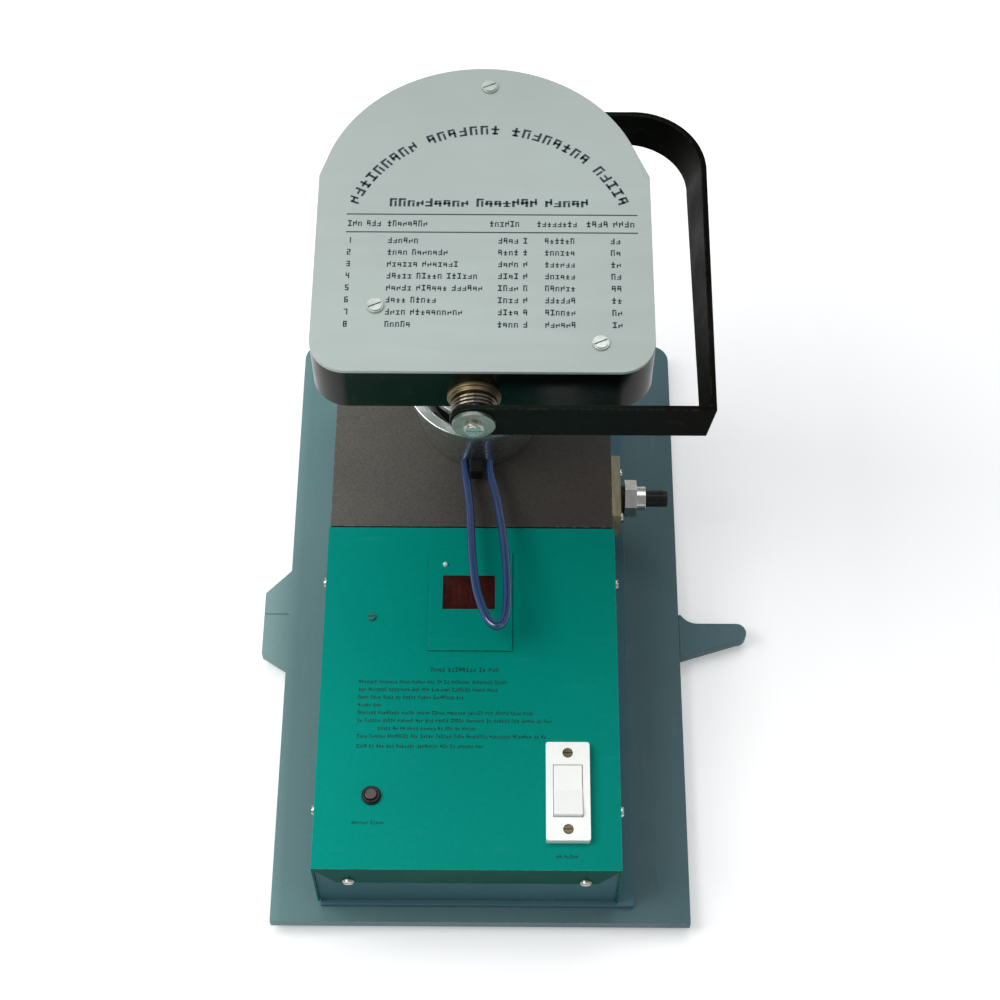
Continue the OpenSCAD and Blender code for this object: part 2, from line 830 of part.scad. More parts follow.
module guide_bolts() {
    color([0.12, 0.12, 0.12]) placed()
        at_guide_bolts() translate([0, 0, head_floor]) cap_bolt(guide_bolt_r, 9);
}

// Ring that sets the thickness of the pressed sample: knurled below, with a plain scale band above.
module thickness_ring() {
    notches = 48;
    color([0.72, 0.73, 0.74]) placed() difference() {
        union() {
            along_z(press, ring_r, ring_z[0], ring_z[0] + 9);
            along_z(press, ring_r - 1.5, ring_z[0] + 9, ring_z[1]);
        }
        along_z(press, guide_r + fit, ring_z[0] - 1, ring_z[1] + 1);
        for (i = [0:notches - 1]) rotate_about_press(360 * i / notches)
            translate([ring_r, 0, ring_z[0] - 1]) cylinder(r = 0.8, h = 9);
    }
}

// ---- Shaft, rack and ram ----

module drive_shaft() {
    color([0.72, 0.73, 0.75]) placed() difference() {
        union() {
            along_y(press[0], shaft_z, shaft_r, lever_front + strip_t, lever_back - strip_t);
            along_y(press[0], shaft_z, shaft_end_r, lever_front, lever_back);
        }
        along_y(press[0], shaft_z, screw_bore, lever_front - 1, lever_front + hub_screw_len);
        along_y(press[0], shaft_z, screw_bore, lever_back - hub_screw_len, lever_back + 1);
    }
}

// Half the angle that a tooth takes up at radius r, from the involute of a 20 degree gear.
function involute(a) = tan(a) - a * PI / 180;
function roll(r) = acos(min(1, pitch_r * cos(20) / r));
function half_tooth(r) = 90 / teeth - 0.6 + (involute(20) - involute(roll(r))) * 180 / PI;
function around(r, a) = [r * cos(a), r * sin(a)];

module gear_outline() {
    radii = [pitch_r - 1.9, pitch_r * cos(20) + 0.05, pitch_r - 0.3, pitch_r + 0.5, pitch_r + 1.4];
    last = len(radii) - 1;
    polygon([for (i = [0:teeth - 1]) let (mid = 360 * (i + 0.5) / teeth) each concat(
        [for (k = [0:last]) around(radii[k], mid - half_tooth(radii[max(k, 1)]))],
        [for (k = [0:last]) around(radii[last - k], mid + half_tooth(radii[max(last - k, 1)]))]
    )]);
}

module pinion() {
    color([0.60, 0.60, 0.58]) placed() difference() {
        translate([press[0], press[1] + pinion_w / 2, shaft_z]) rotate([90, 0, 0])
            linear_extrude(pinion_w) gear_outline();
        along_y(press[0], shaft_z, shaft_r, press[1] - pinion_w, press[1] + pinion_w);
    }
}

// Torsion coil round the shaft, between the front bush and the lever.
module return_spring() {
    turns = 3;
    steps = 20;
    sides = 8;
    wire = 1;
    coil_r = 10.9;
    start = head_front - 5.8;
    travel = 6.4;
    count = turns * steps;
    points = [for (i = [0:count], k = [0:sides - 1]) let (
        a = 360 * i / steps,
        b = 360 * k / sides,
        r = coil_r + wire * cos(b)
    ) [press[0] + r * cos(a), start - travel * i / count + wire * sin(b), shaft_z + r * sin(a)]];
    skin = [for (i = [0:count - 1], k = [0:sides - 1]) let (a = i * sides, n = (k + 1) % sides)
        [a + k, a + n, a + sides + n, a + sides + k]];
    ends = [[for (k = [sides - 1:-1:0]) k], [for (k = [0:sides - 1]) count * sides + k]];
    color([0.60, 0.58, 0.54]) placed() polyhedron(points, concat(skin, ends));
}

module hub_spacer() {
    color([0.80, 0.80, 0.80]) placed() difference() {
        along_y(press[0], shaft_z, 8, lever_front + strip_t, head_front - 4.4 - hub_gap);
        along_y(press[0], shaft_z, shaft_r, lever_front, head_front);
    }
}

// ---- Lever ----

// Stations along the strip's middle, each [x, y, heading, lean]. The front arm runs to a sharp
// corner, the grip runs back and leans further and further out, and a round bend leads into
// the rear arm.
module lever() {
    half = strip_t / 2;
    grip_x = lever_x - half;
    front_y = lever_front + half;
    back_y = lever_back - half;
    bend = bend_r - half;
    bend_steps = 24;
    grip_steps = 10;
    grip_len = back_y - bend - front_y;
    arm = [[press[0], front_y, 0, 0], [grip_x, front_y, 45, front_lean]];
    grip = [for (i = [1:grip_steps - 1]) let (part = i / grip_steps)
        [grip_x, front_y + grip_len * part, 90, front_lean + (grip_lean - front_lean) * part]];
    round_part = [for (i = [0:bend_steps]) let (a = 90 * i / bend_steps) [
        grip_x - bend + bend * cos(a),
        back_y - bend + bend * sin(a),
        90 + a,
        grip_lean * (1 - i / bend_steps)
    ]];
    stations = concat(arm, grip, round_part, [[press[0], back_y, 180, 0]]);
    count = len(stations) - 1;
    // corners of the strip at each station, each [across, up]; the sharp corner is a mitre
    points = [for (s = stations) let (
        mitre = s[2] == 45,
        out = [sin(s[2]), -cos(s[2])],
        rise = strip_w / 2,
        shift = rise * tan(s[3]),
        slip = [shift * (mitre ? sqrt(2) : 1), mitre ? 0 : shift],
        across = mitre ? half * sqrt(2) : half
    ) each [for (c = [[1, 1], [-1, 1], [-1, -1], [1, -1]]) [
        s[0] + out[0] * (c[0] * across + c[1] * slip[0]),
        s[1] + out[1] * (c[0] * across + c[1] * slip[1]),
        shaft_z + c[1] * rise
    ]]];
    skin = [for (i = [0:count - 1], k = [0:3]) let (a = i * 4, n = (k + 1) % 4)
        [a + k, a + n, a + 4 + n, a + 4 + k]];
    color([0.09, 0.09, 0.09]) placed() difference() {
        union() {
            polyhedron(points, concat(skin, [[3, 2, 1, 0], [for (k = [0:3]) count * 4 + k]]));
            along_y(press[0], shaft_z, strip_w / 2, lever_front, lever_front + strip_t);
            along_y(press[0], shaft_z, strip_w / 2, lever_back - strip_t, lever_back);
        }
        along_y(press[0], shaft_z, shaft_end_r, lever_front - 1, lever_back + 1);
    }
}

module lever_washers() {
    color([0.80, 0.82, 0.80]) placed() {
        for (y = [lever_front - washer_t, lever_back]) difference() {
            along_y(press[0], shaft_z, washer_r, y, y + washer_t);
            along_y(press[0], shaft_z, screw_bore, y - 1, y + washer_t + 1);
        }
    }
}

module lever_screws() {
    color([0.85, 0.86, 0.85]) placed() {
        translate([press[0], lever_front - washer_t, shaft_z]) rotate([90, 0, 0])
            pan_screw(5.4, 3.4, screw_bore, hub_screw_len);
        translate([press[0], lever_back + washer_t, shaft_z]) rotate([-90, 0, 0])
            pan_screw(5.4, 3.4, screw_bore, hub_screw_len);
    }
}

module ram_rod() {
    color([0.75, 0.76, 0.78]) placed() difference() {
        along_z(press, ram_r, pad_bottom + pad_t, ram_top);
        along_z(press, 15, pad_bottom + pad_t - 1, ram_top - 12);
    }
}

// The rack stands on the ram, right of the pinion, with one tooth level with the shaft.
module rack_bar() {
    root = rack_line + 1.75;
    tip = rack_line - 1.35;
    tooth_low = ceil((ram_top + 2 - shaft_z) / rack_pitch);
    tooth_high = floor((head_top - 3 - shaft_z) / rack_pitch);
    color([0.65, 0.66, 0.66]) placed() {
        block(
            [root, press[1] - rack_w / 2, ram_top],
            [press[0] + ram_r - 2, press[1] + rack_w / 2, head_top - 1]
        );
        translate([0, press[1] + rack_w / 2, shaft_z]) rotate([90, 0, 0]) linear_extrude(rack_w)
            for (i = [tooth_low:tooth_high]) translate([0, i * rack_pitch])
                polygon([
                    [tip, -0.5], [tip, 0.5], [root, 1.63],
                    [root + 0.5, 1.63], [root + 0.5, -1.63], [root, -1.63]
                ]);
    }
}

module pressure_pad() {
    color([0.78, 0.79, 0.80]) placed() {
        along_z(press, pad_d / 2, pad_bottom, pad_bottom + pad_t - 1);
        along_z(press, ram_r + 6, pad_bottom, pad_bottom + pad_t);
        along_z(press, 15, pad_bottom, pad_bottom + pad_t + 6);
    }
}

// ---- Test cup ----

// A rim on a body that narrows towards its foot.
module cup_outline() {
    along_z(press, cup_r, cup_top - cup_rim_h, cup_top);
    translate([press[0], press[1], cup_bottom])
        cylinder(r1 = cup_foot_r, r2 = cup_r - 1, h = cup_top - cup_rim_h - cup_bottom);
}

module cup_shell() {
    color([0.80, 0.82, 0.82]) placed() difference() {
        cup_outline();
        along_z(press, cup_r - 5.5, cup_top - 3, cup_top + 1);
        along_z(press, chamber_r, chamber_floor, cup_top);
        along_z(press, socket_r, socket_floor, chamber_floor + 1);
        along_z(press, spigot_r, cup_bottom - 1, socket_floor + 1);
    }
}

module cup_insulator() {
    color([0.07, 0.07, 0.07]) placed() difference() {
        union() {
            along_z(press, socket_r, socket_floor, chamber_floor);
            along_z(press, spigot_r, cup_bottom + 0.2, socket_floor);
        }
        along_z(press, electrode_r, chamber_floor - electrode_t, chamber_floor + 1);
        along_z(press, stem_r, cup_bottom - 1, chamber_floor);
    }
}

module cup_electrode() {
    color([0.78, 0.70, 0.45]) placed() {
        along_z(press, electrode_r, chamber_floor - electrode_t, chamber_floor);
        along_z(press, stem_r, cup_bottom + 0.2, chamber_floor - electrode_t);
    }
}

module handle_bracket() {
    inner = handle_half - handle_r;
    color([0.05, 0.05, 0.05]) placed() difference() {
        block(
            [handle_root[0] - inner + 3.2, handle_root[1] - 11.5, handle_root[2] - 5],
            [handle_root[0] + inner, handle_root[1] + 4, handle_root[2] + 5]
        );
        cup_outline();
    }
}

// Two strands and a round end, drawn along -Y from the loop's root.
module loop(r) {
    for (x = [-handle_half, handle_half]) along_y(x, 0, r, -handle_len, 2);
    translate([0, -handle_len, 0]) rotate([0, 0, 180]) rotate_extrude(angle = 180)
        translate([handle_half, 0]) circle(r);
}

module at_loop() {
    translate(handle_root) rotate([0, 0, handle_turn]) rotate([-handle_rise, 0, 0]) children();
}

module handle_wire() {
    color([0.6, 0.6, 0.6]) placed() difference() {
        at_loop() loop(handle_wire_r);
        cup_outline();
    }
}

module handle_sleeve() {
    color([0.11, 0.29, 0.50]) placed() difference() {
        at_loop() loop(handle_r);
        at_loop() loop(handle_wire_r);
        cup_outline();
    }
}

base_plate();
side_grip();
rubber_feet();
foot_screws();
plinth();
chassis_tray();
top_cover();
cover_screws();
display_plate();
display_window();
display_module();
display_board();
board_standoffs();
status_led();
main_board();
board_parts();
transformer_core();
transformer_coil();
switch_plate();
switch_body();
switch_rocker();
switch_screws();
button_body();
button_cap();
press_block();
cord_gland();
contact_insulator();
contact_pin();
terminal_plate();
terminal_screws();
terminal_washer();
terminal_nut();
terminal_stud();
terminal_cap();
column();
frame_bolts();
head_housing();
head_plate();
plate_screws();
front_bush();
rear_bush();
ram_guide();
guide_bolts();
thickness_ring();
drive_shaft();
pinion();
return_spring();
hub_spacer();
lever();
lever_washers();
lever_screws();
ram_rod();
rack_bar();
pressure_pad();
cup_shell();
cup_insulator();
cup_electrode();
handle_bracket();
handle_wire();
handle_sleeve();
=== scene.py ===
"""Looks of the grain moisture meter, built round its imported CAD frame."""
import json
import math
import random

import bmesh
import bpy
from mathutils import Matrix, Vector


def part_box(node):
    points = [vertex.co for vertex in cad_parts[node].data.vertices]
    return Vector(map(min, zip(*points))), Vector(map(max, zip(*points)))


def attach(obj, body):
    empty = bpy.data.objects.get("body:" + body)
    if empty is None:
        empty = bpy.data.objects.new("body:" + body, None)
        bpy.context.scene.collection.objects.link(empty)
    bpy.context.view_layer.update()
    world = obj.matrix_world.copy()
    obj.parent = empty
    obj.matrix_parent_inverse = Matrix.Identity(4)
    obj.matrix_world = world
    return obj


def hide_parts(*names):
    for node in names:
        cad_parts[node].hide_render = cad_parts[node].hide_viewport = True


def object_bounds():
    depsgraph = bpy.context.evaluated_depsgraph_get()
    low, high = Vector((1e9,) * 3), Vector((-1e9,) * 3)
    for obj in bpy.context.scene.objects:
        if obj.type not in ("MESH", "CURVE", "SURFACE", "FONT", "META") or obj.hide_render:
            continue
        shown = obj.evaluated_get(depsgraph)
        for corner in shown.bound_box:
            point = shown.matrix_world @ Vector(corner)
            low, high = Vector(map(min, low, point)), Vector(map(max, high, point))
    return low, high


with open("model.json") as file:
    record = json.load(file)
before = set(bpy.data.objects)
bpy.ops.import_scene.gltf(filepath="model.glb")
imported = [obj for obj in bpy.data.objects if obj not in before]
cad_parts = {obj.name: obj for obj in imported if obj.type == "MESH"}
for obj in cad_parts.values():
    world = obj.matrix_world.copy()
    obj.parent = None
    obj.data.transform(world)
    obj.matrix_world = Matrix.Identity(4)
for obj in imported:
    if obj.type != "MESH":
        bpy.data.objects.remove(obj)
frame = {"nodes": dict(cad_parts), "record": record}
cad_low, cad_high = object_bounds()

MM = 0.001
LIFT = 0.06 * MM  # how far printed ink stands above its surface
random.seed(7)

# The middle of the base plate, which the CAD model is laid out from: the grip starts at its right edge
BASE_HALF_WIDTH = 122.5
MID_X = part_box("side_grip")[0].x - BASE_HALF_WIDTH * MM


def at(x, y, z=0.0):
    """A place in millimetres from the middle of the base plate, as a point of the row frame."""
    return Vector((MID_X + x * MM, y * MM, z * MM))


# ---- Camera and light ----

LIT_POINT = (0, 0, 0.1)  # what every light points at


def aim(obj, direction):
    obj.rotation_euler = direction.to_track_quat("-Z", "Y").to_euler()


def make_camera():
    down = math.radians(60.5)
    turn = math.radians(0.376)
    data = bpy.data.cameras.new("camera")
    data.lens = 72.94
    data.sensor_width = 36.0
    data.clip_start = 0.05
    data.clip_end = 20.0
    camera = bpy.data.objects.new("camera", data)
    bpy.context.collection.objects.link(camera)
    camera.location = at(14, -567.6, 1160)
    level = math.cos(down)
    aim(camera, Vector((-math.sin(turn) * level, math.cos(turn) * level, -math.sin(down))))
    bpy.context.scene.camera = camera


def make_light(name, place, size, power, colour):
    data = bpy.data.lights.new(name, "AREA")
    data.shape = "RECTANGLE"
    data.size, data.size_y = size
    data.energy = power
    data.color = colour
    light = bpy.data.objects.new(name, data)
    bpy.context.collection.objects.link(light)
    light.location = place
    aim(light, Vector(LIT_POINT) - Vector(place))


def make_stage():
    """A pale studio with a floor that glows a little, so that it comes out white."""
    world = bpy.data.worlds.new("studio")
    bpy.context.scene.world = world
    world.use_nodes = True
    back = world.node_tree.nodes["Background"]
    back.inputs["Color"].default_value = (0.95, 0.97, 1.0, 1)
    back.inputs["Strength"].default_value = 0.32
    mesh = bpy.data.meshes.new("floor")
    reach = 4.0
    corners = [(-reach, -reach, 0), (reach, -reach, 0), (reach, reach, 0), (-reach, reach, 0)]
    mesh.from_pydata(corners, [], [(0, 1, 2, 3)])
    floor = bpy.data.objects.new("floor", mesh)
    bpy.context.collection.objects.link(floor)
    paint = bpy.data.materials.new("floor_paint")
    paint.use_nodes = True
    shader = paint.node_tree.nodes["Principled BSDF"]
    shader.inputs["Base Color"].default_value = (0.92, 0.92, 0.92, 1)
    shader.inputs["Roughness"].default_value = 0.8
    shader.inputs["Specular IOR Level"].default_value = 0.1
    shader.inputs["Emission Color"].default_value = (1, 1, 1, 1)
    shader.inputs["Emission Strength"].default_value = 0.26
    mesh.materials.append(paint)
    floor.location.z = cad_low.z - 0.1 * MM
    make_light("key", (-1.1, -0.1, 1.6), (1.2, 1.2), 21, (1.0, 0.995, 0.98))
    make_light("top", (0.1, 0.7, 1.9), (1.6, 1.2), 13.5, (0.97, 0.99, 1.0))
    make_light("fill", (1.3, -0.9, 0.9), (0.9, 0.9), 2, (0.95, 0.98, 1.0))
    bpy.context.scene.view_settings.view_transform = "Standard"


# ---- Node helpers ----

class Paint:
    """A material's node tree, with one short call for each node."""

    def __init__(self, name):
        self.material = bpy.data.materials.new(name)
        self.material.use_nodes = True
        self.tree = self.material.node_tree
        self.shader = self.tree.nodes["Principled BSDF"]
        self.place = self.add("ShaderNodeTexCoord").outputs["Object"]

    def add(self, kind, **values):
        node = self.tree.nodes.new(kind)
        for key, value in values.items():
            setattr(node, key, value)
        return node

    def link(self, source, node, name):
        if isinstance(source, (int, float)):
            node.inputs[name].default_value = source
        elif isinstance(source, (tuple, list)):
            node.inputs[name].default_value = (*source, 1) if len(source) == 3 else source
        else:
            self.tree.links.new(source, node.inputs[name])

    def constant(self, **values):
        for key, value in values.items():
            self.link(value, self.shader, key.replace("_", " "))

    def stretched(self, scale):
        node = self.add("ShaderNodeMapping")
        node.inputs["Scale"].default_value = scale
        self.link(self.place, node, "Vector")
        return node.outputs["Vector"]

    def noise(self, scale, detail=3.0, rough=0.5, place=None):
        node = self.add("ShaderNodeTexNoise")
        self.link(place or self.place, node, "Vector")
        self.link(scale, node, "Scale")
        self.link(detail, node, "Detail")
        self.link(rough, node, "Roughness")
        return node.outputs["Fac"]

    def cells(self, scale, feature="F1"):
        node = self.add("ShaderNodeTexVoronoi", feature=feature)
        self.link(self.place, node, "Vector")
        self.link(scale, node, "Scale")
        return node.outputs["Distance"]

    def steps(self, value, low, high, out_low=0.0, out_high=1.0):
        """A value that runs from low to high, as one that runs from out_low to out_high, clamped."""
        node = self.add("ShaderNodeMapRange")
        node.clamp = True
        numbers = {"From Min": low, "From Max": high, "To Min": out_low, "To Max": out_high}
        for key, number in numbers.items():
            node.inputs[key].default_value = number
        self.link(value, node, "Value")
        return node.outputs["Result"]

    def maths(self, kind, a, b=0.5):
        node = self.add("ShaderNodeMath", operation=kind)
        self.link(a, node, 0)
        self.link(b, node, 1)
        return node.outputs[0]

    def mix(self, factor, a, b):
        node = self.add("ShaderNodeMix", data_type="RGBA")
        self.link(factor, node, "Factor")
        self.link(a, node, 6)
        self.link(b, node, 7)
        return node.outputs[2]

    def edges(self, radius):
        """1 along sharp edges, 0 on flat faces."""
        soft = self.add("ShaderNodeBevel", samples=3)
        soft.inputs["Radius"].default_value = radius
        plain = self.add("ShaderNodeNewGeometry")
        dot = self.add("ShaderNodeVectorMath", operation="DOT_PRODUCT")
        self.link(soft.outputs["Normal"], dot, 0)
        self.link(plain.outputs["Normal"], dot, 1)
        return self.steps(dot.outputs["Value"], 0.995, 0.85)

    def axis(self, name):
        """One coordinate of the row frame, in metres."""
        split = self.add("ShaderNodeSeparateXYZ")
        self.link(self.place, split, "Vector")
        return split.outputs[name]

    def upward(self):
        """1 on faces that look up, 0 on upright ones."""
        split = self.add("ShaderNodeSeparateXYZ")
        self.link(self.add("ShaderNodeNewGeometry").outputs["Normal"], split, "Vector")
        return split.outputs["Z"]

    def shaded_across(self, stops):
        """A colour that runs through stops of (place across the base, colour): painted light and shade across
        the base.
        """
        body = stops[0][1]
        for (left, _), (right, colour) in zip(stops, stops[1:]):
            body = self.mix(self.across(left, right), body, colour)
        return body

    def across(self, left, right):
        """0 to 1 between two places across the base, in millimetres from its middle."""
        return self.steps(self.axis("X"), at(left, 0).x, at(right, 0).x)

    def scaled(self, colour, factor):
        node = self.add("ShaderNodeMix", data_type="RGBA", blend_type="MULTIPLY")
        node.inputs["Factor"].default_value = 1.0
        self.link(colour, node, 6)
        self.link(factor, node, 7)
        return node.outputs[2]

    def bump(self, height, strength, depth):
        node = self.add("ShaderNodeBump")
        node.inputs["Strength"].default_value = strength
        node.inputs["Distance"].default_value = depth
        self.link(height, node, "Height")
        self.link(node.outputs["Normal"], self.shader, "Normal")


def shade(colour, factor):
    """A colour made lighter or darker."""
    return tuple(c * factor for c in colour)


def linear(red, green, blue):
    """Linear light of an ordinary 0 to 255 colour, by the sRGB curve."""
    def one(value):
        part = value / 255
        return part / 12.92 if value <= 10 else ((part + 0.055) / 1.055) ** 2.4

    return tuple(one(value) for value in (red, green, blue))


# ---- Materials ----

def enamel(name, stops, chip, rough=0.50, drift=0.05, wear=0.4, coat=0.0, gloss=0.2, sides=0.9):
    """Sprayed paint: slow drift of shade, fine speckle, scuffs, orange peel and worn edges.

    stops are the paint's colours from left to right, each with its place across the base in millimetres;
    where they differ, the change across is painted light and shade. chip is the colour of scuffs and worn
    edges, and sides is how much darker the upright faces are painted, as painted shade."""
    p = Paint(name)
    # Painted light and shade across the base from the stops, then painted shade that darkens upright faces by
    # sides
    body = p.shaded_across(stops)
    body = p.scaled(body, p.steps(p.upward(), 0.3, 0.9, sides, 1.0))
    slow = p.noise(8, 2)
    speckle = p.noise(620, 3, 0.6)
    scuffs = p.noise(130, 4, 0.6, p.stretched((1.0, 0.12, 1.0)))
    body = p.scaled(body, p.steps(slow, 0.3, 0.7, 1 - drift, 1 + drift))
    body = p.scaled(body, p.steps(speckle, 0.25, 0.75, 0.955, 1.045))
    body = p.mix(p.steps(scuffs, 0.60, 0.78, 0, 0.14), body, chip)
    edge_tint = p.maths("MULTIPLY", p.edges(1.0 * MM), p.steps(p.noise(350, 4, 0.7), 0.46, 0.62, 0, wear))
    body = p.mix(edge_tint, body, chip)
    p.link(body, p.shader, "Base Color")
    smears = p.noise(36, 5, 0.6)
    p.link(p.steps(smears, 0.3, 0.75, rough - 0.06, rough + 0.10), p.shader, "Roughness")
    p.bump(p.noise(1000, 2), 0.10, 0.08 * MM)
    p.constant(Coat_Weight=coat, Coat_Roughness=0.15, Specular_IOR_Level=gloss)
    return p.material


def hammertone():
    """Grey-brown hammered finish: fine shallow cells, dark grain between them and a few pale chips."""
    p = Paint("hammertone")
    cells = p.cells(640, "SMOOTH_F1")
    grain = p.noise(1300, 4, 0.65)
    # Lighter at the left and darker at the right, under the head: painted light and painted shade
    body = p.shaded_across(((-90, linear(92, 90, 84)), (60, linear(60, 54, 49))))
    body = p.scaled(body, p.steps(cells, 0.1, 0.6, 1.10, 0.86))
    body = p.scaled(body, p.steps(grain, 0.3, 0.7, 0.86, 1.12))
    body = p.scaled(body, p.steps(p.noise(20, 3), 0.35, 0.65, 0.93, 1.06))
    chips = p.steps(p.noise(60, 4, 0.6), 0.755, 0.765)
    body = p.mix(chips, body, linear(196, 192, 178))
    edge = p.maths("MULTIPLY", p.edges(1.2 * MM), p.steps(p.noise(240, 4, 0.7), 0.52, 0.62, 0, 0.7))
    body = p.mix(edge, body, linear(150, 148, 138))
    p.link(body, p.shader, "Base Color")
    p.link(p.steps(grain, 0.3, 0.7, 0.46, 0.66), p.shader, "Roughness")
    p.bump(p.maths("ADD", cells, p.maths("MULTIPLY", grain, 0.4)), 0.35, 0.3 * MM)
    p.constant(Metallic=0.1, Specular_IOR_Level=0.35)
    return p.material


def plate_finish():
    """The head's chart plate: even grey silver paint with a very fine metal flake and light rubbing."""
    p = Paint("chart_aluminium")
    flake = p.noise(2300, 2, 0.6)
    rubs = p.noise(90, 4, 0.6, p.stretched((0.15, 1, 1)))
    body = p.mix(p.steps(p.noise(9, 2), 0.3, 0.7), linear(166, 176, 172), linear(159, 168, 165))
    body = p.scaled(body, p.steps(flake, 0.3, 0.7, 0.93, 1.07))
    body = p.mix(p.steps(rubs, 0.6, 0.8, 0, 0.12), body, linear(206, 212, 208))
    edge_tint = p.maths("MULTIPLY", p.edges(0.8 * MM), p.steps(p.noise(300, 4, 0.7), 0.42, 0.6, 0, 0.6))
    body = p.mix(edge_tint, body, linear(122, 118, 106))
    p.link(body, p.shader, "Base Color")
    p.link(p.steps(rubs, 0.3, 0.7, 0.44, 0.58), p.shader, "Roughness")
    p.bump(flake, 0.10, 0.03 * MM)
    p.constant(Metallic=0.25, Specular_IOR_Level=0.35)
    return p.material


def green_cover():
    """Green powder coat; the filled pillar screw on top is overpainted, so it is only a darker dimple."""
    p = Paint("green_paint")
    # Lighter at the left and darker at the right: painted light and shade
    colour = p.shaded_across(((-100, linear(1, 145, 131)), (80, linear(1, 130, 116))))
    # Upright faces, the front flange among them, are darkened to about a quarter: painted shade
    flange_shade = 0.26
    colour = p.scaled(colour, p.steps(p.upward(), 0.3, 0.9, flange_shade, 1.0))
    slow = p.noise(7, 2)
    speckle = p.noise(520, 3, 0.6)
    body = p.scaled(colour, p.steps(slow, 0.3, 0.7, 0.95, 1.05))
    body = p.scaled(body, p.steps(speckle, 0.25, 0.75, 0.95, 1.05))
    scuffs = p.noise(110, 4, 0.6, p.stretched((0.14, 1.0, 1.0)))
    body = p.mix(p.steps(scuffs, 0.62, 0.8, 0, 0.12), body, linear(90, 170, 150))
    # Pale along the edges: a painted highlight of the light from the left, partly also rubbing
    edge_tint = p.maths("MULTIPLY", p.edges(0.9 * MM), p.steps(p.noise(330, 4, 0.7), 0.38, 0.6, 0, 0.6))
    body = p.mix(edge_tint, body, linear(70, 176, 160))
    p.link(body, p.shader, "Base Color")
    p.link(p.steps(p.noise(30, 5, 0.6), 0.3, 0.75, 0.32, 0.46), p.shader, "Roughness")
    p.bump(p.noise(900, 2), 0.12, 0.08 * MM)
    p.constant(Specular_IOR_Level=0.02)
    return p.material


def metal(name, colour, rough, grain=(1, 1, 1), marks=0.12, depth=0.02, tarnish=None, painted_above=None):
    """Bare or plated metal. grain stretches the fine lines: a small number is the direction that they run in.

    Above the height painted_above, in millimetres, it wears the cover's dark green paint."""
    p = Paint(name)
    lines = p.noise(1400, 3, 0.6, p.stretched(grain))
    patches = p.noise(70, 4, 0.6)
    body = p.mix(p.steps(patches, 0.35, 0.7), colour, tarnish or shade(colour, 0.82))
    body = p.mix(p.steps(lines, 0.3, 0.7, 0, 0.25), body, shade(colour, 0.7))
    bare = 1.0
    if painted_above is not None:
        height = p.axis("Z")
        above = p.steps(height, painted_above * MM, (painted_above + 0.2) * MM)
        body = p.mix(above, body, linear(6, 108, 95))
        bare = p.maths("SUBTRACT", 1.0, above)
    p.link(body, p.shader, "Base Color")
    blotches = p.steps(patches, 0.3, 0.7, rough, rough + marks)
    p.link(p.maths("ADD", blotches, p.steps(lines, 0.3, 0.7, 0, marks)), p.shader, "Roughness")
    p.bump(lines, 0.25, depth * MM)
    p.link(bare, p.shader, "Metallic")
    return p.material


def moulded(name, colour, rough=0.35, coat=0.0, mottle=0.06, fine=1600, gloss=0.4):
    """Moulded plastic or rubber: a fine moulded grain, slight mottling and handling marks."""
    p = Paint(name)
    patches = p.noise(45, 4, 0.6)
    fine_grain = p.noise(fine, 2)
    body = p.mix(p.steps(patches, 0.35, 0.7), shade(colour, 1 + mottle), shade(colour, 1 - 1.5 * mottle))
    grime = p.maths("MULTIPLY", p.steps(p.noise(220, 5, 0.7), 0.55, 0.75), 0.12)
    p.link(p.mix(grime, body, shade(colour, 0.6)), p.shader, "Base Color")
    p.link(p.steps(patches, 0.3, 0.7, rough - 0.05, rough + 0.1), p.shader, "Roughness")
    p.bump(fine_grain, 0.15, 0.04 * MM)
    p.constant(Coat_Weight=coat, Coat_Roughness=0.1, Specular_IOR_Level=gloss)
    return p.material


def laminate():
    """Tan insulating board with its paper layers showing as fine lines."""
    p = Paint("tan_board")
    layers = p.noise(700, 4, 0.6, p.stretched((1, 0.08, 0.08)))
    body = p.mix(p.steps(layers, 0.3, 0.7), linear(150, 143, 112), linear(112, 104, 78))
    stains = p.steps(p.noise(90, 4), 0.55, 0.75, 0, 0.5)
    p.link(p.mix(stains, body, linear(86, 76, 54)), p.shader, "Base Color")
    p.link(p.steps(layers, 0.3, 0.7, 0.42, 0.6), p.shader, "Roughness")
    p.bump(layers, 0.3, 0.05 * MM)
    return p.material


def tinted_window():
    """Clear red plastic, faintly hazed by wiping."""
    p = Paint("red_window")
    haze = p.noise(160, 5, 0.6)
    p.link(p.mix(p.steps(haze, 0.4, 0.7), linear(170, 84, 78), linear(140, 66, 62)), p.shader, "Base Color")
    p.link(p.steps(haze, 0.4, 0.7, 0.06, 0.16), p.shader, "Roughness")
    p.bump(haze, 0.05, 0.02 * MM)
    p.constant(Transmission_Weight=0.9, IOR=1.45)
    return p.material


def glow(name, colour, strength):
    """A dimly lit surface."""
    p = Paint(name)
    body = p.mix(p.steps(p.noise(800, 2), 0.3, 0.7), colour, shade(colour, 0.75))
    p.link(body, p.shader, "Base Color")
    p.constant(Roughness=0.4, Emission_Color=colour, Emission_Strength=strength)
    return p.material


def ink(name, colour, fade=0.3):
    """Screen printing ink, a little worn."""
    p = Paint(name)
    worn = p.steps(p.noise(420, 4, 0.65), 0.5, 0.75, 0, fade)
    p.link(p.mix(worn, colour, shade(colour, 2.2)), p.shader, "Base Color")
    p.link(p.steps(p.noise(900, 3), 0.3, 0.7, 0.45, 0.65), p.shader, "Roughness")
    p.bump(p.noise(2200, 2), 0.1, 0.02 * MM)
    p.constant(Specular_IOR_Level=0.25)
    return p.material


